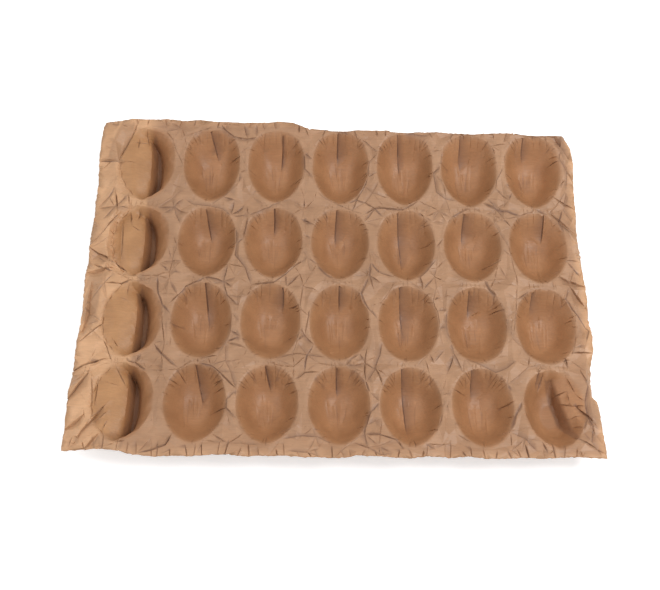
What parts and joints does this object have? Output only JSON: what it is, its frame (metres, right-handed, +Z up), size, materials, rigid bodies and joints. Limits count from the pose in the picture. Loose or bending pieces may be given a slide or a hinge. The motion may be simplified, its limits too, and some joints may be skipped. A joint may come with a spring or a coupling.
{
  "type": "moulded paper fruit tray",
  "caption": "Thin sheet of brown kraft paper pressed into a grid of oval pockets that each hold one piece of fruit in a carton.",
  "frame": {"origin": "middle of the sheet's plan box, on the surface that the pockets' floors stand on", "axes": "+X along the long side, to the right with the folded-in pockets on the left, +Y to the back, +Z up out of the pockets"},
  "size_m": [0.393, 0.2912, 0.0318],
  "materials": {
    "kraft_paper": "matte"
  },
  "bodies": {
    "root": {"tray_sheet": "kraft_paper"}
  },
  "joints": []
}
